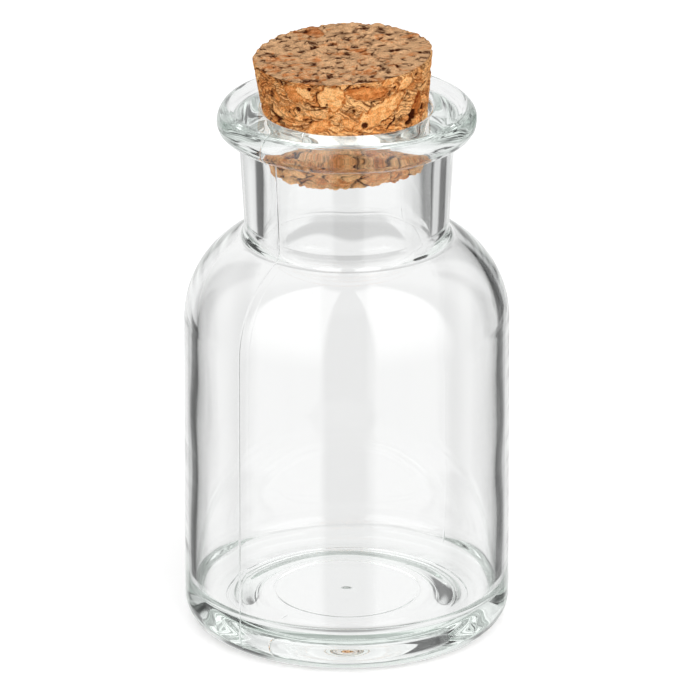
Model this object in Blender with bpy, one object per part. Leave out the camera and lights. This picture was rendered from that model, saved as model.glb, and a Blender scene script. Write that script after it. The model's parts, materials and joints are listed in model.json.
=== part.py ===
# Small clear glass bottle with a tapered cork in its mouth.
# Metres, +Z up. The origin is the centre of the ring that the bottle stands on,
# and the front of the bottle faces -Y.
import math

import bmesh
import bpy
from mathutils import Matrix, Vector

# Outside of the bottle
BODY_RADIUS = 0.0271            # outside radius of the straight wall
BODY_HEIGHT = 0.0538            # floor to the top of the straight wall
HEEL_RADIUS = 0.0048            # rounding between the wall and the foot
FOOT_WIDTH = 0.0033             # flat ring that the bottle stands on
PUSH_UP = 0.0022                # height of the hollow under the base
PUSH_UP_SLOPE = 0.0045          # width of the slope from the foot up into the hollow
SHOULDER_RADIUS = 0.0163        # rounding from the wall up to the neck
SHOULDER_FILLET = 0.0020        # hollow rounding where the neck starts
NECK_LENGTH = 0.01626           # shoulder fillet to the underside of the lip
NECK_FLARE = 0.0009             # how much wider the neck is under the lip
LIP_OVERHANG = 0.0037           # how far the lip reaches out from the neck
LIP_HEIGHT = 0.0050             # thickness of the fully rounded lip
LIP_FILLET = 0.0010             # hollow rounding under the lip

# Inside of the bottle
BODY_WALL = 0.0021              # glass of the straight wall
BASE_THICKNESS = 0.0038         # glass over the middle of the push-up
FLOOR_CORNER_WIDTH = 0.0040     # rounding between the inner wall and the floor, across
FLOOR_CORNER_HEIGHT = 0.0020    # the same rounding, up the wall
INNER_SHOULDER_RADIUS = 0.0150  # rounding from the inner wall up to the bore
INNER_FILLET = 0.0030           # rounding where the bore opens into the shoulder
NECK_BORE_RADIUS = 0.0136       # bore at the bottom of the neck
NECK_WALL = 0.0034              # glass at the bottom of the neck
MOUTH_WIDENING = 0.0004         # how much wider the bore is in the mouth
RIM_ROUNDING = 0.0010           # rounding of the mouth's inner edge

# Cork
CORK_CLEARANCE = 0.0003         # gap left between the cork and the mouth
CORK_DEPTH = 0.0098             # how deep it reaches below the top of the lip
CORK_STANDOUT = 0.0092          # how far it stands above the top of the lip
CORK_TAPER_DEG = 6.9            # slope of its side from its own axis
CORK_LEAN_DEG = 2.3             # lean towards -X, as it was pushed in
CORK_EDGE = 0.0006              # worn rounding of its two edges

# Facets
TURN_STEPS = 60                 # facets round the bottle, the mouth and the cork
ARC_TOLERANCE = 0.00005         # how far a facet may cut inside the arc it follows


def arc_points(center, radius, start_deg, end_deg):
    """Points of an arc in the (radius, height) plane, both ends included."""
    step_deg = 2 * math.degrees(math.acos(1 - min(0.3, ARC_TOLERANCE / radius)))
    steps = max(2, math.ceil(abs(end_deg - start_deg) / step_deg))
    points = []
    for step in range(steps + 1):
        angle = math.radians(start_deg + (end_deg - start_deg) * step / steps)
        points.append((center[0] + radius * math.cos(angle), center[1] + radius * math.sin(angle)))
    return points


def shoulder_points(body_radius, round_radius, neck_radius, fillet_radius):
    """Shoulder arc and the neck fillet tangent to it, from the wall upwards."""
    round_center = (body_radius - round_radius, BODY_HEIGHT)
    reach = max(0.0, neck_radius + fillet_radius - round_center[0])
    rise = math.sqrt((round_radius + fillet_radius) ** 2 - reach ** 2)
    tangent_deg = math.degrees(math.atan2(rise, reach))
    fillet_center = (neck_radius + fillet_radius, BODY_HEIGHT + rise)
    points = arc_points(round_center, round_radius, 0, tangent_deg)
    points += arc_points(fillet_center, fillet_radius, 180 + tangent_deg, 180)[1:]
    return points


def base_points():
    """Underside: the flat push-up, its sloping side and the inner edge of the foot."""
    foot_inner = BODY_RADIUS - HEEL_RADIUS - FOOT_WIDTH
    return [(0.0, PUSH_UP), (foot_inner - PUSH_UP_SLOPE, PUSH_UP), (foot_inner, 0.0)]


def bottle_outline():
    """Closed half outline: underside, outside, lip, bore and floor."""
    points = base_points()
    points += arc_points((BODY_RADIUS - HEEL_RADIUS, HEEL_RADIUS), HEEL_RADIUS, -90, 0)
    neck_radius = NECK_BORE_RADIUS + NECK_WALL
    points += shoulder_points(BODY_RADIUS, SHOULDER_RADIUS, neck_radius, SHOULDER_FILLET)

    # lip, a full round ring on the flared neck
    neck_top = neck_radius + NECK_FLARE
    lip_bottom = points[-1][1] + NECK_LENGTH
    lip_round = LIP_HEIGHT / 2
    lip_fillet = min(LIP_FILLET, LIP_OVERHANG / 3)
    lip_middle = lip_bottom + lip_round
    lip_center = max(neck_top + LIP_OVERHANG - lip_round, neck_top + lip_fillet)
    points += arc_points((neck_top + lip_fillet, lip_bottom - lip_fillet), lip_fillet, 180, 90)
    points += arc_points((lip_center, lip_middle), lip_round, -90, 90)

    # mouth, bore, inner shoulder, inner wall and floor
    mouth_radius = NECK_BORE_RADIUS + MOUTH_WIDENING
    rim_center = (mouth_radius + RIM_ROUNDING, lip_bottom + LIP_HEIGHT - RIM_ROUNDING)
    points += arc_points(rim_center, RIM_ROUNDING, 90, 180)
    inside = shoulder_points(
        BODY_RADIUS - BODY_WALL,
        INNER_SHOULDER_RADIUS,
        NECK_BORE_RADIUS,
        INNER_FILLET,
    )
    points += reversed(inside)
    floor = PUSH_UP + BASE_THICKNESS
    corner_inner = BODY_RADIUS - BODY_WALL - FLOOR_CORNER_WIDTH
    flattening = FLOOR_CORNER_HEIGHT / FLOOR_CORNER_WIDTH
    for radius, height in arc_points((corner_inner, 0.0), FLOOR_CORNER_WIDTH, 0, -90):
        points.append((radius, floor + FLOOR_CORNER_HEIGHT + height * flattening))
    points.append((0.0, floor))
    return points


def lip_top():
    """Height of the top of the lip."""
    neck_radius = NECK_BORE_RADIUS + NECK_WALL
    outside = shoulder_points(BODY_RADIUS, SHOULDER_RADIUS, neck_radius, SHOULDER_FILLET)
    return outside[-1][1] + NECK_LENGTH + LIP_HEIGHT


def cork_outline():
    """Half outline of the cork, in heights from the circle that seats in the mouth."""
    seat_radius = NECK_BORE_RADIUS + MOUTH_WIDENING - CORK_CLEARANCE
    slope = math.tan(math.radians(CORK_TAPER_DEG))
    low = RIM_ROUNDING - CORK_DEPTH
    high = RIM_ROUNDING + CORK_STANDOUT
    low_radius = seat_radius + low * slope
    high_radius = seat_radius + high * slope
    points = [(0.0, low)]
    points += arc_points((low_radius - CORK_EDGE, low + CORK_EDGE), CORK_EDGE, -90, -CORK_TAPER_DEG)
    points += arc_points((high_radius - CORK_EDGE, high - CORK_EDGE), CORK_EDGE, -CORK_TAPER_DEG, 90)
    points.append((0.0, high))
    return points


def turned_mesh(name, outline):
    """Mesh of a half outline turned once round the Z axis."""
    bm = bmesh.new()
    verts = [bm.verts.new((radius, 0.0, height)) for radius, height in outline]
    edges = [bm.edges.new(pair) for pair in zip(verts, verts[1:])]
    bmesh.ops.spin(
        bm,
        geom=verts + edges,
        cent=Vector(),
        axis=Vector((0, 0, 1)),
        angle=math.tau,
        steps=TURN_STEPS,
        use_merge=True,
    )
    bmesh.ops.remove_doubles(bm, verts=bm.verts, dist=1e-6)
    bmesh.ops.recalc_face_normals(bm, faces=bm.faces)
    mesh = bpy.data.meshes.new(name)
    bm.to_mesh(mesh)
    bm.free()
    mesh.shade_smooth()
    mesh.set_sharp_from_angle(angle=math.radians(35))
    return mesh


def add_part(name, mesh, material):
    """Object of a mesh and its material, linked to the scene."""
    part = bpy.data.objects.new(name, mesh)
    mesh.materials.append(material)
    bpy.context.scene.collection.objects.link(part)
    return part


def glass_material():
    material = bpy.data.materials.new("clear_glass")
    material.use_nodes = True
    shader = material.node_tree.nodes["Principled BSDF"]
    shader.inputs["Base Color"].default_value = (0.93, 0.97, 0.95, 1)
    shader.inputs["Metallic"].default_value = 0.0
    shader.inputs["Roughness"].default_value = 0.02
    shader.inputs["IOR"].default_value = 1.52
    shader.inputs["Transmission Weight"].default_value = 1.0
    return material


def cork_material():
    material = bpy.data.materials.new("cork")
    material.use_nodes = True
    shader = material.node_tree.nodes["Principled BSDF"]
    shader.inputs["Base Color"].default_value = (0.46, 0.25, 0.11, 1)
    shader.inputs["Metallic"].default_value = 0.0
    shader.inputs["Roughness"].default_value = 0.85
    return material


def build():
    for old in list(bpy.data.objects):
        bpy.data.objects.remove(old)

    add_part("glass_bottle", turned_mesh("glass_bottle", bottle_outline()), glass_material())

    cork = add_part("cork_stopper", turned_mesh("cork_stopper", cork_outline()), cork_material())
    cork.location = (0.0, 0.0, lip_top() - RIM_ROUNDING)
    cork.rotation_euler = Matrix.Rotation(-math.radians(CORK_LEAN_DEG), 3, "Y").to_euler()


build()
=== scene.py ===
import json
import math

import bmesh
import bpy
from mathutils import Matrix, Vector, noise


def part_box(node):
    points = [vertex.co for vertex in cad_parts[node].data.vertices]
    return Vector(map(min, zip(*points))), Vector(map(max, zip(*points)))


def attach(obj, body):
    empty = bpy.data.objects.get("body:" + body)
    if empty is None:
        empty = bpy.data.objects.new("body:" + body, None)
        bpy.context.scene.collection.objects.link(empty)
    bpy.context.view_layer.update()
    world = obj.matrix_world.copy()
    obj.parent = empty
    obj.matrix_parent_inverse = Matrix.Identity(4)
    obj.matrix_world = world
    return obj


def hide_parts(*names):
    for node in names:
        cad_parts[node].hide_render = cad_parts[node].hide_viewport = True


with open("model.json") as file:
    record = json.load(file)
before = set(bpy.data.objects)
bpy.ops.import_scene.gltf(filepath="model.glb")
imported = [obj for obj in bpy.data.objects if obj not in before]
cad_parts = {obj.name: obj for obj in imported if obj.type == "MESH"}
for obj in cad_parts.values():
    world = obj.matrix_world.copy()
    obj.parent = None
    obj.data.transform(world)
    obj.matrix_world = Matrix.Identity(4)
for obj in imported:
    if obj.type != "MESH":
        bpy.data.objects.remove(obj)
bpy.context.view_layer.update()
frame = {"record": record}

mounts = {mount["name"]: mount for mount in frame["record"]["mounts"]}


# Helpers for materials

def addNode(tree, kind, **settings):
    node = tree.nodes.new(kind)
    for name, value in settings.items():
        setattr(node, name, value)
    return node


def setInputs(tree, node, **sockets):
    for name, value in sockets.items():
        socket = node.inputs[int(name[1:])] if name[0] == "i" and name[1:].isdigit() else node.inputs[name]
        if isinstance(value, bpy.types.NodeSocket):
            tree.links.new(value, socket)
        else:
            socket.default_value = value
    return node


def calc(tree, operation, first, second=0.0, third=0.0):
    node = addNode(tree, "ShaderNodeMath", operation=operation)
    setInputs(tree, node, i0=first, i1=second, i2=third)
    return node.outputs[0]


def blendRange(tree, value, low, high, toLow=0.0, toHigh=1.0):
    node = addNode(tree, "ShaderNodeMapRange", interpolation_type="SMOOTHSTEP")
    setInputs(tree, node, i0=value, i1=low, i2=high, i3=toLow, i4=toHigh)
    return node.outputs[0]


def grainNoise(tree, place, size, detail, **settings):
    node = addNode(tree, "ShaderNodeTexNoise", **settings)
    setInputs(tree, node, Scale=1 / size, Detail=detail)
    if place is not None:
        tree.links.new(place, node.inputs["Vector"])
    return node


def ramp(value, low, high):
    return min(1.0, max(0.0, (value - low) / (high - low)))


# Camera

camera = {
    "elevationDeg": 21.5,
    "distance": 2.333,       # camera to the middle of the picture
    "targetX": 0.00053,      # the axis is a little left of the middle
    "targetZ": 0.04774,
    "pictureWidth": 0.11667, # what the picture takes in at the bottle
    "sensor": 36.0,
    "clip": (0.05, 20),
}


def makeCamera(c):
    data = bpy.data.cameras.new("camera")
    data.sensor_width = c["sensor"]
    data.lens = c["sensor"] * c["distance"] / c["pictureWidth"]
    data.clip_start, data.clip_end = c["clip"]
    obj = bpy.data.objects.new("camera", data)
    bpy.context.scene.collection.objects.link(obj)
    tilt = math.radians(c["elevationDeg"])
    back = Vector((0, -math.cos(tilt), math.sin(tilt)))
    obj.location = Vector((c["targetX"], 0, c["targetZ"])) + back * c["distance"]
    obj.rotation_euler = (-back).to_track_quat("-Z", "Y").to_euler()
    bpy.context.scene.camera = obj


makeCamera(camera)
print("camera set")


# Studio: a white room with dark cards, which only glass and gloss see, a white floor and two soft lamps
# Directions are in degrees: 0 is straight behind the bottle, 90 is to its right, and heights are above level

studio = {
    "plainLevel": 0.60,        # what matt surfaces see all round
    "whiteLevel": 0.93,        # the white room, as seen through the glass
    "throughLevel": (2.4, 0.15),   # what reaches matt surfaces through the glass, from below and from above
    "throughFrom": (-8, 4),
    "underLevel": 0.40,        # the floor close to the bottle, in its own shade
    "underFrom": (-72, -52),
    "cards": (                 # from, to, bottom, top and level of each dark card
        (-60, -25, -23.4, -18, 0.14),
        (-66, -41, -18, 45, 0.05),
        (26, 54, -23.4, -18, 0.18),
        (21, 41, -18, 45, 0.05),
        (53, 63, -18, 45, 0.05),
    ),
    "cardSoft": 4.5,
    "heightSoft": 0.6,
    "haloLevel": 0.22,         # the room darkens a little towards a card
    "haloWidth": 15,
    "backdropRise": (-16.6, 0.25, -6.0, 5.0),   # the duller backdrop above the white sheet's far edge
    "backdropBow": 0.026,      # how its lower edge rises to the sides
    "backdropWide": (6.6, 3.9), # half width at its bottom and top
    "backdropNarrows": (-15.6, -13.6),
    "backdropSoft": 0.9,
    "backdropLevel": 0.72,
    "behindTo": (70, 95),      # the room in front of the bottle takes over between these directions
    "frontLevel": 0.25,        # it is dim, and seen only as a reflection
    "tableFrom": (-34, -26),   # the white sheet in front of the bottle
    "tableLevel": 0.5,
    "ceilingFrom": (40, 55),
    "ceilingLevel": 0.5,
    "windows": (               # from, to, bottom and top of each softbox
        (-164, -102, -60, 78),
        (101, 160, -60, 78),
    ),
    "windowSoft": 3,
    "windowLevel": (0.7, 1.7), # it is brighter higher up
    "windowFade": (-22, 16),
    "lampSize": 1.2,
    "lampAim": (0, 0, 0.05),
    "keyPlace": (0.15, -1.0, 0.70),
    "keyWatts": 8.6,
    "fillPlace": (0.9, -0.35, 0.7),
    "fillWatts": 1.3,
    "floorSize": 6.0,
    "floorMatt": 0.95,         # the part of the floor's white that takes the shadow
    "floorGlow": 0.40,
}


def skyAngles(tree):
    place = addNode(tree, "ShaderNodeTexCoord")
    split = addNode(tree, "ShaderNodeSeparateXYZ")
    tree.links.new(place.outputs["Generated"], split.inputs[0])
    turn = calc(tree, "ARCTAN2", split.outputs[0], split.outputs[1])
    azimuth = calc(tree, "MULTIPLY", turn, 180 / math.pi)
    rise = calc(tree, "MULTIPLY", calc(tree, "ARCSINE", split.outputs[2]), 180 / math.pi)
    return azimuth, rise


def beyond(tree, azimuth, low, high):      # degrees outside the range from low to high
    middle = (low + high) / 2
    folded = calc(tree, "WRAP", calc(tree, "SUBTRACT", azimuth, middle), 180.0, -180.0)
    return calc(tree, "SUBTRACT", calc(tree, "ABSOLUTE", folded), (high - low) / 2)


def between(tree, value, low, high, soft):
    up = blendRange(tree, value, low - soft, low + soft)
    down = blendRange(tree, value, high - soft, high + soft)
    return calc(tree, "SUBTRACT", up, down)


def roomLevel(tree, azimuth, rise, s):
    level = blendRange(tree, rise, *s["underFrom"], s["underLevel"], s["whiteLevel"])
    for low, high, bottom, top, cardLevel in s["cards"]:
        away = beyond(tree, azimuth, low, high)
        core = blendRange(tree, away, -s["cardSoft"], s["cardSoft"], 1 - cardLevel, 0.0)
        halo = blendRange(tree, away, 0.0, s["haloWidth"], s["haloLevel"], 0.0)
        height = between(tree, rise, bottom, top, s["heightSoft"])
        dark = calc(tree, "MULTIPLY", calc(tree, "MAXIMUM", core, halo), height)
        level = calc(tree, "MULTIPLY", level, calc(tree, "SUBTRACT", 1.0, dark))
    lowEdge, lowSoft, highEdge, highSoft = s["backdropRise"]
    bow = calc(tree, "MULTIPLY", calc(tree, "MULTIPLY", azimuth, azimuth), -s["backdropBow"])
    above = blendRange(tree, calc(tree, "ADD", rise, bow), lowEdge - lowSoft, lowEdge + lowSoft)
    below = blendRange(tree, rise, highEdge - highSoft, highEdge + highSoft, 1.0, 0.0)
    wide = blendRange(tree, rise, *s["backdropNarrows"], *s["backdropWide"])
    past = calc(tree, "SUBTRACT", calc(tree, "ABSOLUTE", azimuth), wide)
    near = blendRange(tree, past, -s["backdropSoft"], s["backdropSoft"], 1.0, 0.0)
    band = calc(tree, "MULTIPLY", calc(tree, "MULTIPLY", above, below), near)
    dim = calc(tree, "MULTIPLY_ADD", band, s["backdropLevel"] - 1, 1.0)
    return calc(tree, "MULTIPLY", level, dim)


def frontRoomLevel(tree, azimuth, rise, s):
    level = s["frontLevel"]
    strength = blendRange(tree, rise, *s["windowFade"], *s["windowLevel"])
    for low, high, bottom, top in s["windows"]:
        away = beyond(tree, azimuth, low, high)
        across = blendRange(tree, away, -s["windowSoft"], s["windowSoft"], 1.0, 0.0)
        height = between(tree, rise, bottom, top, s["windowSoft"])
        level = calc(tree, "MULTIPLY_ADD", calc(tree, "MULTIPLY", across, height), strength, level)
    table = blendRange(tree, rise, *s["tableFrom"], s["tableLevel"], 0.0)
    ceiling = blendRange(tree, rise, *s["ceilingFrom"], 0.0, s["ceilingLevel"])
    return calc(tree, "MAXIMUM", level, calc(tree, "MAXIMUM", table, ceiling))


def makeWorld(s):
    world = bpy.data.worlds.new("studio")
    world.use_nodes = True
    bpy.context.scene.world = world
    tree = world.node_tree
    tree.nodes.clear()
    azimuth, rise = skyAngles(tree)
    room = roomLevel(tree, azimuth, rise, s)
    frontRoom = frontRoomLevel(tree, azimuth, rise, s)
    behind = blendRange(tree, calc(tree, "ABSOLUTE", azimuth), *s["behindTo"], 1.0, 0.0)
    ray = addNode(tree, "ShaderNodeLightPath")
    straight = calc(tree, "LESS_THAN", ray.outputs["Glossy Depth"], 0.5)
    gloss = addNode(tree, "ShaderNodeMix", data_type="FLOAT")
    setInputs(tree, gloss, i0=calc(tree, "MAXIMUM", behind, straight), i2=frontRoom, i3=room)
    level = s["plainLevel"]
    lit = calc(tree, "GREATER_THAN", ray.outputs["Diffuse Depth"], 0.5)
    passed = blendRange(tree, rise, *s["throughFrom"], *s["throughLevel"])
    through = addNode(tree, "ShaderNodeMix", data_type="FLOAT")
    setInputs(tree, through, i0=lit, i2=gloss.outputs[0], i3=passed)
    for kind, seen in (
        ("Is Glossy Ray", through.outputs[0]),
        ("Is Transmission Ray", through.outputs[0]),
        ("Is Camera Ray", 1.0),
    ):
        choice = addNode(tree, "ShaderNodeMix", data_type="FLOAT")
        setInputs(tree, choice, i0=ray.outputs[kind], i2=level, i3=seen)
        level = choice.outputs[0]
    background = addNode(tree, "ShaderNodeBackground")
    setInputs(tree, background, Color=(1, 1, 1, 1), Strength=level)
    output = addNode(tree, "ShaderNodeOutputWorld")
    tree.links.new(background.outputs[0], output.inputs["Surface"])


def makeLamp(name, place, watts, s):
    data = bpy.data.lights.new(name, "AREA")
    data.shape = "SQUARE"
    data.size = s["lampSize"]
    data.energy = watts
    lamp = bpy.data.objects.new(name, data)
    lamp.location = place
    aim = Vector(s["lampAim"]) - lamp.location
    lamp.rotation_euler = aim.to_track_quat("-Z", "Y").to_euler()
    lamp.visible_camera = False
    lamp.visible_glossy = False
    lamp.visible_transmission = False
    bpy.context.scene.collection.objects.link(lamp)


def makeFloor(s):
    mesh = bpy.data.meshes.new("floor")
    bm = bmesh.new()
    bmesh.ops.create_grid(bm, x_segments=1, y_segments=1, size=s["floorSize"] / 2)
    bm.to_mesh(mesh)
    bm.free()
    floor = bpy.data.objects.new("floor", mesh)
    bpy.context.scene.collection.objects.link(floor)
    floor.visible_glossy = False
    floor.visible_transmission = False
    material = bpy.data.materials.new("floor")
    material.use_nodes = True
    tree = material.node_tree
    tree.nodes.clear()
    matt = addNode(tree, "ShaderNodeBsdfDiffuse")
    setInputs(tree, matt, Color=(*[s["floorMatt"]] * 3, 1))
    glow = addNode(tree, "ShaderNodeEmission")
    ray = addNode(tree, "ShaderNodeLightPath")
    glowLevel = calc(tree, "MULTIPLY", ray.outputs["Is Camera Ray"], s["floorGlow"])
    setInputs(tree, glow, Strength=glowLevel)
    both = addNode(tree, "ShaderNodeAddShader")
    tree.links.new(matt.outputs[0], both.inputs[0])
    tree.links.new(glow.outputs[0], both.inputs[1])
    output = addNode(tree, "ShaderNodeOutputMaterial")
    tree.links.new(both.outputs[0], output.inputs["Surface"])
    mesh.materials.append(material)


makeWorld(studio)
makeLamp("key lamp", studio["keyPlace"], studio["keyWatts"], studio)
makeLamp("fill lamp", studio["fillPlace"], studio["fillWatts"], studio)
makeFloor(studio)
bpy.context.scene.view_settings.view_transform = "Standard"
print("studio set")


# Glass bottle

bottle = {
    "bodyHeight": 0.0538,
    "heelRadius": 0.0048,
    "pushUp": 0.0026,
    "pushUpSlope": (0.0138, 0.0197),   # where the underside comes down to the foot
    "footWidth": 0.0014,
    "undersidePoints": 150,
    "undersideRings": (          # radius, width and height of fine rings and the centre mark
        (0.0, 0.0008, 0.00012),
        (0.0122, 0.00022, 0.00006),
        (0.0181, 0.00018, 0.00006),
        (0.0201, 0.00020, 0.00008),
    ),
    "shoulderRadius": 0.0163,
    "shoulderFillet": 0.0020,
    "neckLength": 0.01626,
    "neckFlare": 0.0009,
    "lipOverhang": 0.0037,
    "lipHeight": 0.0050,
    "lipFillet": 0.0010,
    "bodyWall": 0.0021,
    "floorHeight": 0.0060,
    "floorCorner": (0.0048, 0.0028),   # width and height of the rounding between wall and floor
    "innerShoulderRadius": 0.0150,
    "innerFillet": 0.0030,
    "innerBodyHeight": 0.0538,
    "boreRadius": 0.0136,
    "neckWall": 0.0034,
    "mouthWidening": 0.0004,
    "rimRounding": 0.0010,
    "step": 0.0006,              # spacing of the points along the outline
    "columnDeg": 2.0,
    "longStep": 0.0015,          # spacing of the points on straight stretches
    "seamDeg": 49.0,             # the two halves of the mould met here and on the opposite side
    "seamHeight": 0.00006,
    "backSeamHeight": 0.00003,
    "seamFrom": 0.0015,          # no seam on the underside
    "seamWidth": 0.00012,
    "seamReachDeg": 0.8,
    "seamColumns": 14,
    "lipLine": (0.0203, 0.0911),
    "lineHeight": 0.00003,
    "lineWidth": 0.00014,
    "innerWave": 0.00007,
    "innerWaveSize": 0.011,
    "lipWave": 0.00014,          # the lip was shaped by hand
    "lipWaveSize": (0.008, 0.0013),
    "lipWaveSlant": 0.4,
    "lipWaveFrom": (0.0835, 0.0875),
    "ior": 1.52,
    "depthColour": (0.45, 0.75, 0.58, 1),
    "depthDensity": 4.0,
    "glowAfterMirrored": 3.5,       # painted glow: the glass glows, in place of light still caught in it, after more mirror bounces
    "glowAfterBounced": 11.5,       # or after more bounces of any kind
    # strength and colour of the painted glow
    "paintedGlowLevel": (0.04, 0.55),
    "paintedGlowColour": (0.97, 1.0, 0.98, 1),
    "paintedGlowStreaks": (0.012, 0.0011),    # length and width of the streaks of painted glow
    "paintedGlowSlant": 0.6,
    "paintedGlowFrom": (0.36, 0.66),
}


def arc(center, radius, startDeg, endDeg, step):
    count = max(3, math.ceil(abs(math.radians(endDeg - startDeg)) * radius / step))
    points = []
    for i in range(count + 1):
        angle = math.radians(startDeg + (endDeg - startDeg) * i / count)
        points.append(Vector((center[0] + radius * math.cos(angle), center[1] + radius * math.sin(angle))))
    return points


def shoulderLine(bodyRadius, roundRadius, neckRadius, filletRadius, height, step):
    center = (bodyRadius - roundRadius, height)
    reach = neckRadius + filletRadius - center[0]
    rise = math.sqrt((roundRadius + filletRadius) ** 2 - reach ** 2)
    turnDeg = math.degrees(math.atan2(rise, reach))
    filletCenter = (neckRadius + filletRadius, height + rise)
    points = arc(center, roundRadius, 0, turnDeg, step)
    points += arc(filletCenter, filletRadius, 180 + turnDeg, 180, step / 2)[1:]
    return points


def outsideLine(b, bodyRadius):      # from the middle of the push-up, over the lip, to the mouth
    foot = bodyRadius - b["heelRadius"]
    underside = foot - b["footWidth"]
    inner, outer = b["pushUpSlope"]
    points = []
    for i in range(b["undersidePoints"] + 1):
        around = underside * i / b["undersidePoints"]
        fall = 0.5 - 0.5 * math.cos(math.pi * ramp(around, inner, outer))
        height = b["pushUp"] * (1 - fall)
        for ringRadius, width, swell in b["undersideRings"]:
            height += swell * math.exp(-((around - ringRadius) / width) ** 2)
        points.append(Vector((around, height)))
    points += arc((foot, b["heelRadius"]), b["heelRadius"], -90, 0, b["step"] / 2)
    neck = b["boreRadius"] + b["neckWall"]
    shoulder = (b["shoulderRadius"], neck, b["shoulderFillet"])
    points += shoulderLine(bodyRadius, *shoulder, b["bodyHeight"], b["step"])
    neckTop = neck + b["neckFlare"]
    lipBottom = points[-1].y + b["neckLength"]
    lipRound = b["lipHeight"] / 2
    lipCenter = (neckTop + b["lipOverhang"] - lipRound, lipBottom + lipRound)
    fillet = b["lipFillet"]
    points += arc((neckTop + fillet, lipBottom - fillet), fillet, 180, 90, b["step"] / 4)
    points += arc(lipCenter, lipRound, -90, 90, b["step"] / 3)
    mouth = b["boreRadius"] + b["mouthWidening"]
    rim = b["rimRounding"]
    points += arc((mouth + rim, lipBottom + b["lipHeight"] - rim), rim, 90, 180, b["step"] / 4)
    return points


def insideLine(b, bodyRadius):       # from the bore down to the middle of the floor
    shoulder = shoulderLine(
        bodyRadius - b["bodyWall"],
        b["innerShoulderRadius"],
        b["boreRadius"],
        b["innerFillet"],
        b["innerBodyHeight"],
        b["step"],
    )
    points = shoulder[::-1]
    floor = b["floorHeight"]
    wide, high = b["floorCorner"]
    across = bodyRadius - b["bodyWall"] - wide
    for place in arc((0, 0), 1.0, 0, -90, b["step"] / 2 / wide):
        points.append(Vector((across + wide * place.x, floor + high + high * place.y)))
    points.append(Vector((0, floor)))
    return points


def spaced(points, step):            # fills long straight stretches, and drops points that meet
    filled = [points[0]]
    for point in points[1:]:
        gap = (point - filled[-1]).length
        if gap < 1e-6:
            continue
        count = max(1, round(gap / step))
        start = filled[-1].copy()
        filled += [start.lerp(point, i / count) for i in range(1, count + 1)]
    return filled


def raiseLine(points, place, height, width):     # a fine ridge where two parts of the mould met
    spot = Vector(place)
    near = min(range(1, len(points) - 1), key=lambda i: (points[i] - spot).length)
    along = (points[near + 1] - points[near - 1]).normalized()
    out = Vector((along.y, -along.x))
    steps = 6                        # to each side of the ridge, half a width long
    ridge = []
    for i in range(-steps, steps + 1):
        offset = i * width / 2
        swell = height * math.exp(-(offset / width) ** 2)
        ridge.append(points[near] + along * offset + out * swell)
    reach = 1.2 * steps * width / 2  # the outline's own points keep clear of the ridge
    before = points[:near]
    while before and (before[-1] - points[near]).length < reach:
        before.pop()
    after = points[near + 1:]
    while after and (after[0] - points[near]).length < reach:
        after.pop(0)
    return before + ridge + after


def turnOutline(bm, geometry, stops):            # spins it round Z in stretches of (degrees, columns)
    for degrees, columns in stops:
        spun = bmesh.ops.spin(
            bm,
            geom=geometry,
            cent=(0, 0, 0),
            axis=(0, 0, 1),
            angle=math.radians(degrees),
            steps=columns,
        )
        geometry = spun["geom_last"]


def outsideShift(b, place):
    around = math.hypot(place.x, place.y)
    turn = math.degrees(math.atan2(place.y, place.x))
    mouth = b["boreRadius"] + b["mouthWidening"] + b["rimRounding"]
    shift = 0.0
    if place.z > b["seamFrom"] and around > mouth:
        for seam, height in ((b["seamDeg"], b["backSeamHeight"]), (b["seamDeg"] + 180, b["seamHeight"])):
            away = math.radians((turn - seam + 180) % 360 - 180) * around
            shift += height * math.exp(-(away / b["seamWidth"]) ** 2)
    long, short = b["lipWaveSize"]
    wavy = Vector((place.x / long, place.y / long, (place.z + b["lipWaveSlant"] * around) / short))
    return shift + b["lipWave"] * noise.noise(wavy) * ramp(place.z, *b["lipWaveFrom"])


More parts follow.
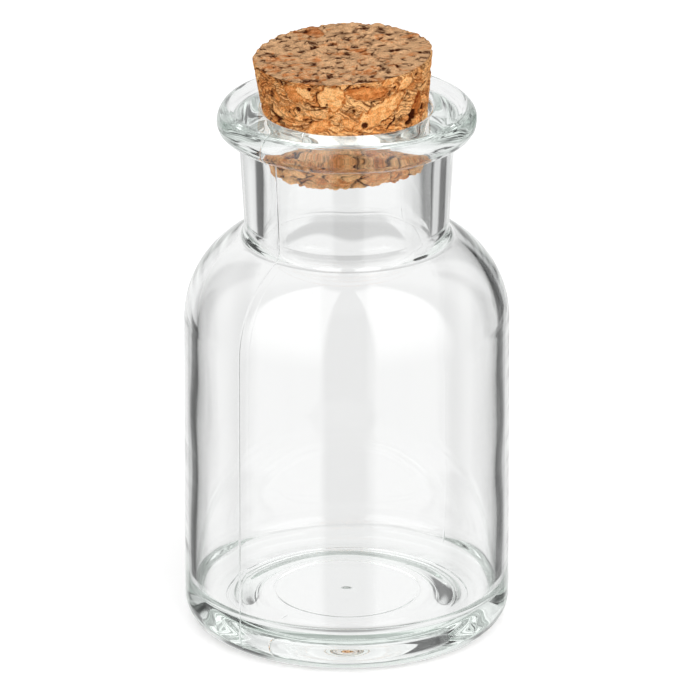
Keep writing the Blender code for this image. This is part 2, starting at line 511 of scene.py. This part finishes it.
def makeBottle(b):
    _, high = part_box("glass_bottle")
    bodyRadius = high[0]
    outside = outsideLine(b, bodyRadius)
    outside = spaced(outside, b["longStep"])
    outside = raiseLine(outside, b["lipLine"], b["lineHeight"], b["lineWidth"])
    inside = spaced(insideLine(b, bodyRadius), b["longStep"])

    # one half of the mould, from seam to seam, and a copy of it turned to the other side
    bm = bmesh.new()
    onOutside = bm.verts.layers.float.new("onOutside")
    for points, mark in ((outside, 1.0), (inside, 0.0)):
        for point in points:
            vert = bm.verts.new((point.x, 0, point.y))
            vert[onOutside] = mark
    verts = list(bm.verts)
    edges = [bm.edges.new(pair) for pair in zip(verts, verts[1:])]
    start = Matrix.Rotation(math.radians(b["seamDeg"] - b["seamReachDeg"]), 3, "Z")
    bmesh.ops.rotate(bm, verts=verts, cent=(0, 0, 0), matrix=start)
    plain = 180 - 2 * b["seamReachDeg"]
    turnOutline(bm, verts + edges, ((180 - plain, b["seamColumns"]), (plain, round(plain / b["columnDeg"]))))
    copied = bmesh.ops.duplicate(bm, geom=bm.verts[:] + bm.edges[:] + bm.faces[:])
    copiedVerts = [item for item in copied["geom"] if isinstance(item, bmesh.types.BMVert)]
    bmesh.ops.rotate(bm, verts=copiedVerts, cent=(0, 0, 0), matrix=Matrix.Rotation(math.pi, 3, "Z"))
    bmesh.ops.remove_doubles(bm, verts=bm.verts, dist=1e-6)
    bmesh.ops.recalc_face_normals(bm, faces=bm.faces)
    bm.normal_update()

    # the seams stand up a little, and the blown inside is not quite even
    moves = []
    for vert in bm.verts:
        if vert[onOutside] > 0.5:
            shift = outsideShift(b, vert.co)
        else:
            shift = b["innerWave"] * noise.noise(vert.co / b["innerWaveSize"])
        moves.append(vert.normal * shift)
    for vert, move in zip(bm.verts, moves):
        vert.co += move
    mesh = bpy.data.meshes.new("glassBottle")
    bm.to_mesh(mesh)
    bm.free()
    mesh.shade_smooth()
    obj = bpy.data.objects.new("glassBottle", mesh)
    bpy.context.scene.collection.objects.link(obj)
    mesh.materials.append(clearGlass(b))
    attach(obj, "bottle")
    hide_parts("glass_bottle")
    print("bottle", len(mesh.polygons), "faces")


def clearGlass(b):
    material = bpy.data.materials.new("clearGlass")
    material.use_nodes = True
    tree = material.node_tree
    shader = tree.nodes["Principled BSDF"]
    setInputs(tree, shader, Roughness=0.0, IOR=b["ior"])
    setInputs(tree, shader, **{"Base Color": (1, 1, 1, 1), "Transmission Weight": 1.0})

    # painted glow: the glass gives off light where a ray ends its last bounce inside it, in place of light
    # still caught there, in streaks along the lip and the heel
    ray = addNode(tree, "ShaderNodeLightPath")
    mirrored = calc(tree, "GREATER_THAN", ray.outputs["Glossy Depth"], b["glowAfterMirrored"])
    bounced = calc(tree, "GREATER_THAN", ray.outputs["Ray Depth"], b["glowAfterBounced"])
    glowsHere = calc(tree, "MAXIMUM", mirrored, bounced)
    place = addNode(tree, "ShaderNodeTexCoord")
    split = addNode(tree, "ShaderNodeSeparateXYZ")
    tree.links.new(place.outputs["Object"], split.inputs[0])
    x, y, z = split.outputs
    long, wide = b["paintedGlowStreaks"]
    squares = calc(tree, "MULTIPLY_ADD", x, x, calc(tree, "MULTIPLY", y, y))
    slanted = calc(tree, "MULTIPLY_ADD", calc(tree, "SQRT", squares), b["paintedGlowSlant"], z)
    where = addNode(tree, "ShaderNodeCombineXYZ")
    setInputs(tree, where, X=calc(tree, "DIVIDE", x, long), Y=calc(tree, "DIVIDE", y, long))
    setInputs(tree, where, Z=calc(tree, "DIVIDE", slanted, wide))
    streaks = grainNoise(tree, where.outputs[0], 1.0, 2.0).outputs["Fac"]
    strength = blendRange(tree, streaks, *b["paintedGlowFrom"], *b["paintedGlowLevel"])
    glow = calc(tree, "MULTIPLY", glowsHere, strength)
    setInputs(tree, shader, **{"Emission Color": b["paintedGlowColour"], "Emission Strength": glow})

    # a faint green where the glass is thick
    depth = addNode(tree, "ShaderNodeVolumeAbsorption")
    setInputs(tree, depth, Color=b["depthColour"], Density=b["depthDensity"])
    tree.links.new(depth.outputs[0], tree.nodes["Material Output"].inputs["Volume"])
    return material


makeBottle(bottle)


# Cork, made of pressed granules; heights are from its top, and 0 degrees is to the right of the bottle

cork = {
    "seed": 3,                    # of the bends in the granules
    "taperDeg": 6.9,
    "height": 0.0190,
    "topRadius": 0.01493,
    "edge": 0.0004,               # worn rounding of its two edges
    "step": 0.00022,
    "columns": 53,                # in an eighth of a turn
    "seatDepth": 0.0102,          # from its top to the circle that sits in the mouth
    "leanMoreDeg": 0.5,           # it sits a little askew in the mouth
    "shift": -0.0002,
    "deepest": 0.00042,           # limits of the relief
    "highest": 0.00002,
    "granuleSize": (0.0052, 0.0052, 0.0024),
    "granuleLift": 0.00016,
    "bend": ((0.0070, 0.0020), (0.0018, 0.0004)),   # size and strength of the waves in the granules
    "layerThickness": 0.00042,
    "layerLean": 0.7,
    "layerOffset": 40,            # keeps the layers of one granule unlike those of the next
    "layeredFrom": (-0.9, 0.3),
    "layering": (1.0, 0.25),      # on its side and on its ends
    "plainBelow": (-0.0150, -0.0090),   # the thin layers fade out there
    "crackWidth": 0.11,           # in sizes of a granule
    "crackDepth": 0.00042,
    "crackShare": (1.0, 0.6),     # on its side and on its ends
    "crackOpen": (0.0032, -0.45, 0.35),   # size and noise levels of the patches with open cracks
    "crackShut": 0.2,             # what is left of a crack outside them
    "crackShutDark": 0.60,
    "crumbSize": ((0.0021, 0.0012, 0.0009), (0.0032, 0.0019, 0.0012)),   # on its side and on its ends
    "crumbShare": (0.8, 1.0),     # the same
    "crumbOpen": (0.0014, -0.30, 0.35),
    "crumbShut": 0.3,
    "crumbCrackWidth": ((0.16, 0.26), (0.12, 0.22)),   # the same; least, and more where it is open
    "crumbDepth": 0.00040,
    "crumbLift": 0.000182,
    "crumbTint": 0.34,
    "flakeTint": (0.0, 0.20),     # the same
    "crumbDark": (1.0, 0.92),     # the same
    "crumbShutDark": 0.55,
    "smallSize": (0.0013, 0.0009, 0.0007),   # the smallest crumbs, only on the ends
    "smallPatches": (0.0026, -0.35, 0.20),
    "smallAside": (0.00806, 0, 0),     # they take another part of the noise
    "smallCrackWidth": 0.5,
    "smallDepth": 0.00030,
    "smallTint": 0.35,
    "lostFrom": (0.45, 0.60),     # where a crumb has broken out of an end
    "lostDepth": 0.00040,
    # painted shade in the hollow a lost crumb leaves
    "lostPaintedShade": 0.30,
    "poreSize": (0.00018, 0.00042),
    "poreEdge": (0.5, 1.3),
    "poreSpacing": 0.0034,
    "poreAside": (0.05, 0.02, 0.01),   # they take another part of the noise
    "poreFrom": -0.1,             # a higher value leaves fewer of them
    "poreDepth": 0.0005,
    "rimChips": (0.0011, -0.1, 0.5),
    "rimChipReach": 0.0010,
    "rimChipDepth": 0.00040,
    "paleFrom": (-0.0120, -0.0145),   # the side turns a little paler towards its bottom
    "paleLow": 0.35,
    "plates": (                   # degrees, height, slant, half width and height, tint of the largest flakes
        (-98.0, -0.0027, -8, 0.0027, 0.0021, 0.92),
        (-115.5, -0.0020, -28, 0.0018, 0.0008, 1.00),
        (-125.0, -0.0024, -20, 0.0020, 0.0012, 0.55),
        (-74.0, -0.0021, -6, 0.0037, 0.0012, 0.45),
        (-64.0, -0.0060, 24, 0.0049, 0.0016, 0.84),
        (-44.0, -0.0022, 18, 0.0018, 0.0010, 0.88),
        (-58.0, -0.0008, 10, 0.0016, 0.0007, 0.80),
        (-84.0, -0.0077, -35, 0.0019, 0.0008, 0.70),
        (-108.0, -0.0081, 30, 0.0023, 0.0011, 0.62),
        # painted shade: this dark flake beside the deep gap stands in for shade next to the crack
        (-32.5, -0.0070, 62, 0.0024, 0.0011, 0.16),
    ),
    "plateShape": (2.0, 1.4),
    "plateRagged": ((0.0019, 0.42), (0.0007, 0.35)),   # size and strength of the notches in their edges
    "plateStraight": 0.7,         # they bend less than the granules
    "plateRim": 0.16,             # a darker rim round each of them
    "plateRimTint": 0.25,
    "plateBorder": 0.45,
    "plateLift": 0.00006,
    "plateLayer": 0.0007,
    "plateOffset": 17,
    "plateLayering": 0.12,
    "plateCrumbs": 0.08,
    "knots": (                    # degrees, height and radius of the round dark spots
        (-122.2, -0.0052, 0.00055),
        (-76.4, -0.0080, 0.00065),
        (-24.0, -0.0080, 0.00060),
    ),
    "knotEdge": (0.75, 1.2),
    "knotDepth": 0.00015,
    "knotDark": 0.85,
    "gapDeg": (-31.0, -41.5),     # the deep crack, at its top and bottom
    "gapHeight": (-0.0064, -0.0108),
    "gapHalfWidth": 0.00070,
    "gapWander": (0.0011, 0.0007),
    "gapRagged": (0.0009, 0.9),
    "gapSoft": (0.0016, 0.0012),
    "gapEdge": (0.8, 1.4),
    "gapDepth": 0.0011,
    # painted shade: the deep crack is painted dark inside as well as cut in
    "gapPaintedShadeFrom": 0.4,
}


corkValues = ("tint", "layer", "layering", "dark", "end")    # what each point of the mesh tells the material


def bentBy(place, bends):
    for size, strength in bends:
        place = place + noise.noise_vector(place / size) * strength
    return place


def cells(place, size):            # distance to a granule's middle, to its border, and its own chances
    distances, spots = noise.voronoi(Vector(place[i] / size[i] for i in range(3)))
    chances = noise.cell_vector(spots[0] * 91.7)     # so far apart that each granule has its own
    return distances[0], distances[1] - distances[0], chances


def patches(place, size, low, high):        # 0 to 1, in patches of about that size
    return ramp(noise.noise(place / size), low, high)


def turnAround(place):             # degrees round the cork's axis, and the distance from it
    return math.degrees(math.atan2(place.y, place.x)), math.hypot(place.x, place.y)


def plateAt(place, c):
    turn, around = turnAround(place)
    bulge, point = c["plateShape"]
    for number, (deg, height, slant, halfWide, halfTall, tint) in enumerate(c["plates"]):
        across = math.radians((turn - deg + 180) % 360 - 180) * around
        up = place.z - height
        lean = math.radians(slant)
        along = across * math.cos(lean) + up * math.sin(lean)
        beside = up * math.cos(lean) - across * math.sin(lean)
        inside = 1 - (abs(along / halfWide) ** bulge + abs(beside / halfTall) ** point)
        for size, strength in c["plateRagged"]:
            inside += strength * noise.noise(place / size)
        if inside > -c["plateRim"]:
            return number, inside, tint, beside
    return None


def poreAt(place, c):
    near, _, chance = cells(place + Vector(c["poreAside"]), [c["poreSpacing"]] * 3)
    if chance.x <= c["poreFrom"]:
        return 0.0
    small, large = c["poreSize"]
    radius = (small + (large - small) * ramp(chance.y, -1, 1)) / c["poreSpacing"]
    core, rim = c["poreEdge"]
    return 1 - ramp(near, radius * core, radius * rim)


def knotAt(place, c):
    turn, around = turnAround(place)
    core, rim = c["knotEdge"]
    knot = 0.0
    for deg, height, radius in c["knots"]:
        away = math.hypot(math.radians(turn - deg) * around, place.z - height)
        knot = max(knot, 1 - ramp(away, radius * core, radius * rim))
    return knot


def gapAt(place, c):
    turn, around = turnAround(place)
    top, bottom = c["gapHeight"]
    topDeg, bottomDeg = c["gapDeg"]
    deg = topDeg + (bottomDeg - topDeg) * ramp(place.z, top, bottom)
    size, strength = c["gapWander"]
    wander = strength * noise.noise(Vector((0, 0, place.z / size)))
    away = abs(math.radians(turn - deg) * around + wander)
    size, strength = c["gapRagged"]
    halfWidth = c["gapHalfWidth"] * (1 + strength * noise.noise(place / size))
    topSoft, bottomSoft = c["gapSoft"]
    halfWidth *= ramp(top - place.z, 0, topSoft) * ramp(place.z - bottom, 0, bottomSoft)
    core, rim = c["gapEdge"]
    return 1 - ramp(away, halfWidth * core, halfWidth * rim + 0.00001)    # the width is 0 at its ends


def surfaceAt(place, end, c):      # depth, tint, layer, layering and darkness of the cork at a place
    bent = bentBy(place, c["bend"])
    _, border, chance = cells(bent, c["granuleSize"])
    tint = 0.5 + 0.5 * chance.x
    layerLean = Vector((chance.y * c["layerLean"], chance.z * c["layerLean"], 1)).normalized()
    layer = bent.dot(layerLean) / c["layerThickness"] + c["layerOffset"] * chance.y
    layering = ramp(chance.z, *c["layeredFrom"]) * c["layering"][end] * ramp(place.z, *c["plainBelow"])
    lift = c["granuleLift"] * chance.z
    crumbShare = c["crumbShare"][end]
    found = None if end else plateAt(bent - (bent - place) * c["plateStraight"], c)
    if found:
        number, inside, tint, beside = found
        border = abs(inside) * c["plateBorder"]
        if inside < 0:
            tint = c["plateRimTint"]
        layer = beside / c["plateLayer"] + c["plateOffset"] * number
        layering = c["plateLayering"]
        lift = c["plateLift"]
        crumbShare = c["plateCrumbs"]
    openness = patches(place, *c["crackOpen"])
    crack = (1 - ramp(border, 0.0, c["crackWidth"])) * c["crackShare"][end]
    crack *= c["crackShut"] + (1 - c["crackShut"]) * openness

    # crumbs inside the granules
    _, crumbBorder, crumbChance = cells(bent, c["crumbSize"][end])
    crumbOpen = patches(place, *c["crumbOpen"])
    least, more = c["crumbCrackWidth"][end]
    crumbCrack = 1 - ramp(crumbBorder, 0.0, least + more * crumbOpen)
    crumbCrack *= c["crumbShut"] + (1 - c["crumbShut"]) * crumbOpen
    depth = crack * c["crackDepth"] + crumbCrack * crumbShare * c["crumbDepth"] - lift
    depth += crumbShare * c["crumbLift"] * (1 - crumbChance.x)
    tint += (c["crumbTint"] * crumbShare + c["flakeTint"][end]) * crumbChance.y
    lost = 0.0
    if end:                       # patches of small crumbs between the flakes
        _, smallBorder, smallChance = cells(bent, c["smallSize"])
        patch = patches(place + Vector(c["smallAside"]), *c["smallPatches"])
        smallCrack = (1 - ramp(smallBorder, 0.0, c["smallCrackWidth"])) * patch
        crumbCrack = max(crumbCrack, smallCrack)
        tint += c["smallTint"] * smallChance.x * patch
        # painted shade: a lost crumb's hollow is darkened as well as sunk
        lost = ramp(crumbChance.z, *c["lostFrom"])
        depth += smallCrack * c["smallDepth"] + lost * c["lostDepth"]
    depth = c["deepest"] * math.tanh(depth / c["deepest"])
    crackDark = crack * (c["crackShutDark"] + (1 - c["crackShutDark"]) * openness)
    crumbDark = crumbCrack * crumbShare * c["crumbDark"][end]
    crumbDark *= c["crumbShutDark"] + (1 - c["crumbShutDark"]) * crumbOpen

    # pores, knots and the deep gap, whose inside is also painted dark as painted shade
    pore = poreAt(place, c)
    knot = 0.0 if end else knotAt(place, c)
    gap = 0.0 if end else gapAt(place, c)
    depth += pore * c["poreDepth"] + knot * c["knotDepth"] + gap * c["gapDepth"]
    # painted shade inside the deep gap
    gapPaintedShade = ramp(gap, 0.0, c["gapPaintedShadeFrom"])
    dark = max(crackDark, crumbDark, lost * c["lostPaintedShade"], pore, knot * c["knotDark"], gapPaintedShade)
    return depth, tint, layer, layering, dark


def makeCork(c):
    noise.seed_set(c["seed"])
    top = Vector(mounts["cork_top"]["pos_m"])
    up = Vector(mounts["cork_top"]["axis"])
    low = -c["height"]
    lowRadius = c["topRadius"] + low * math.tan(math.radians(c["taperDeg"]))
    edge = c["edge"]
    outline = [Vector((0, low))]
    outline += arc((lowRadius - edge, low + edge), edge, -90, -c["taperDeg"], edge / 2)
    outline += arc((c["topRadius"] - edge, -edge), edge, -c["taperDeg"], 90, edge / 2)
    outline.append(Vector((0, 0)))

    # an eighth of the cork, and copies of it all round
    bm = bmesh.new()
    verts = [bm.verts.new((point.x, 0, point.y)) for point in spaced(outline, c["step"])]
    edges = [bm.edges.new(pair) for pair in zip(verts, verts[1:])]
    turnOutline(bm, verts + edges, ((45.0, c["columns"]),))
    for turn in (45, 90, 180):
        copied = bmesh.ops.duplicate(bm, geom=bm.verts[:] + bm.edges[:] + bm.faces[:])
        copiedVerts = [item for item in copied["geom"] if isinstance(item, bmesh.types.BMVert)]
        matrix = Matrix.Rotation(math.radians(turn), 3, "Z")
        bmesh.ops.rotate(bm, verts=copiedVerts, cent=(0, 0, 0), matrix=matrix)
    bmesh.ops.remove_doubles(bm, verts=bm.verts, dist=1e-6)
    bmesh.ops.recalc_face_normals(bm, faces=bm.faces)
    bm.normal_update()

    # granules, pores and chipped edges
    values = {name: [] for name in corkValues}
    moves = []
    for vert in bm.verts:
        place = vert.co.copy()
        end = abs(vert.normal.z) > 0.6          # on the top or the bottom, not on the side
        depth, tint, layer, layering, dark = surfaceAt(place, end, c)
        pale = 1.0 if end else c["paleLow"] * ramp(place.z, *c["paleFrom"])
        around = math.hypot(place.x, place.y)
        fromTopRim = math.hypot(around - c["topRadius"], place.z)
        fromLowRim = math.hypot(around - lowRadius, place.z - low)
        nearRim = 1 - ramp(min(fromTopRim, fromLowRim), 0.0, c["rimChipReach"])
        depth += patches(place, *c["rimChips"]) * nearRim * c["rimChipDepth"]
        moves.append(vert.normal * -max(depth, -c["highest"]))
        for name, value in zip(corkValues, (tint, layer, layering, dark, pale)):
            values[name].append(value)
    for vert, move in zip(bm.verts, moves):
        vert.co += move
    lean = Vector((0, 0, 1)).rotation_difference(up).to_matrix().to_4x4()
    more = Matrix.Rotation(-math.radians(c["leanMoreDeg"]), 4, "Y")
    seat = Matrix.Translation(top - up * c["seatDepth"] + Vector((c["shift"], 0, 0)))
    toMouth = seat @ more @ lean @ Matrix.Translation((0, 0, c["seatDepth"]))
    bmesh.ops.transform(bm, matrix=toMouth, verts=bm.verts)
    mesh = bpy.data.meshes.new("corkStopper")
    bm.to_mesh(mesh)
    bm.free()
    for name in corkValues:
        mesh.attributes.new(name, "FLOAT", "POINT").data.foreach_set("value", values[name])
    mesh.shade_smooth()
    obj = bpy.data.objects.new("corkStopper", mesh)
    bpy.context.scene.collection.objects.link(obj)
    mesh.materials.append(pressedCork(corkLook))
    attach(obj, "cork")
    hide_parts("cork_stopper")
    print("cork", len(mesh.polygons), "faces")


corkLook = {
    "side": (                     # tint and colour, from dark granules to pale ones
        (0.00, (0.170, 0.033, 0.007)),
        (0.24, (0.430, 0.124, 0.027)),
        (0.48, (0.660, 0.232, 0.064)),
        (0.78, (0.800, 0.350, 0.112)),
        (1.00, (0.910, 0.500, 0.205)),
    ),
    "ends": (
        (0.00, (0.120, 0.030, 0.007)),
        (0.28, (0.310, 0.096, 0.027)),
        (0.50, (0.560, 0.195, 0.062)),
        (0.78, (0.730, 0.315, 0.126)),
        (1.00, (0.850, 0.510, 0.270)),
    ),
    "chipSize": 0.0008,           # small chips of another tint
    "chipStretch": (0.6, 1.5, 1.8),
    "chipShare": (0.34, 0.50),    # on the side and on the ends
    "mottleSize": 0.0009,
    "mottleTint": 0.8,
    "streak": (0.220, 0.060, 0.015, 1),
    "streakFrom": (0.45, 0.58),
    "streakStrength": 0.85,
    "streakDepth": 0.6,
    "layerWave": 2.8,
    "gritSize": 0.00022,
    "speckleFrom": (0.3, 0.7),
    "speckleLevel": (0.70, 1.18),
    "crack": (0.050, 0.010, 0.003, 1),
    "crackFrom": (0.25, 0.85),
    "crackRagged": 0.8,
    "bumpStrength": 0.5,
    "bumpHeight": 0.00012,
    "roughness": 0.85,
    "gloss": 0.02,
}


def granuleRamp(tree, value, stops):
    node = addNode(tree, "ShaderNodeValToRGB")
    ends = node.color_ramp.elements
    while len(ends) < len(stops):
        ends.new(0.5)
    for element, (place, colour) in zip(ends, stops):
        element.position = place
        element.color = (*colour, 1)
    tree.links.new(value, node.inputs[0])
    return node.outputs[0]


def blendColour(tree, share, first, second, kind="MIX"):
    node = addNode(tree, "ShaderNodeMix", data_type="RGBA", blend_type=kind)
    setInputs(tree, node, i0=share, i6=first, i7=second)
    return node.outputs[2]


def pressedCork(look):
    material = bpy.data.materials.new("pressedCork")
    material.use_nodes = True
    tree = material.node_tree
    shader = tree.nodes["Principled BSDF"]
    read = {}
    for name in corkValues:
        read[name] = addNode(tree, "ShaderNodeAttribute", attribute_name=name).outputs["Fac"]
    place = addNode(tree, "ShaderNodeTexCoord").outputs["Object"]
    mottle = grainNoise(tree, place, look["mottleSize"], 4.0).outputs["Fac"]
    grit = grainNoise(tree, place, look["gritSize"], 2.0).outputs["Fac"]
    chips = addNode(tree, "ShaderNodeTexVoronoi")
    stretched = addNode(tree, "ShaderNodeMapping")
    setInputs(tree, stretched, Vector=place, Scale=look["chipStretch"])
    setInputs(tree, chips, Vector=stretched.outputs[0], Scale=1 / look["chipSize"])
    chipTint = addNode(tree, "ShaderNodeSeparateColor")
    tree.links.new(chips.outputs["Color"], chipTint.inputs[0])
    uneven = calc(tree, "SUBTRACT", mottle, 0.5)
    tint = calc(tree, "MULTIPLY_ADD", uneven, look["mottleTint"], read["tint"])
    onSide, onEnds = look["chipShare"]
    chipShare = calc(tree, "MULTIPLY_ADD", read["end"], onEnds - onSide, onSide)
    tint = calc(tree, "MULTIPLY_ADD", calc(tree, "SUBTRACT", chipTint.outputs[0], 0.5), chipShare, tint)
    side = granuleRamp(tree, tint, look["side"])
    ends = granuleRamp(tree, tint, look["ends"])
    colour = blendColour(tree, read["end"], side, ends)

    # thin layers inside each granule
    layers = grainNoise(tree, None, 1.0, 3.0, noise_dimensions="1D")
    wavy = calc(tree, "MULTIPLY_ADD", mottle, look["layerWave"], read["layer"])
    tree.links.new(wavy, layers.inputs["W"])
    streak = blendRange(tree, layers.outputs["Fac"], *look["streakFrom"])
    layered = calc(tree, "MULTIPLY", streak, read["layering"])
    share = calc(tree, "MULTIPLY", layered, look["streakStrength"])
    colour = blendColour(tree, share, colour, look["streak"])

    # fine speckles, then dark cracks and pores
    speckle = blendRange(tree, grit, *look["speckleFrom"], *look["speckleLevel"])
    colour = blendColour(tree, 1.0, colour, speckle, "MULTIPLY")
    rough = calc(tree, "SUBTRACT", grit, 0.5)
    ragged = calc(tree, "MULTIPLY_ADD", rough, look["crackRagged"], read["dark"])
    darkness = blendRange(tree, ragged, *look["crackFrom"])
    colour = blendColour(tree, darkness, colour, look["crack"])
    height = calc(tree, "MULTIPLY_ADD", streak, -look["streakDepth"], grit)
    bump = addNode(tree, "ShaderNodeBump")
    setInputs(tree, bump, Strength=look["bumpStrength"], Distance=look["bumpHeight"], Height=height)
    setInputs(tree, shader, Roughness=look["roughness"], Normal=bump.outputs[0])
    setInputs(tree, shader, **{"Base Color": colour, "Specular IOR Level": look["gloss"]})
    return material


makeCork(cork)
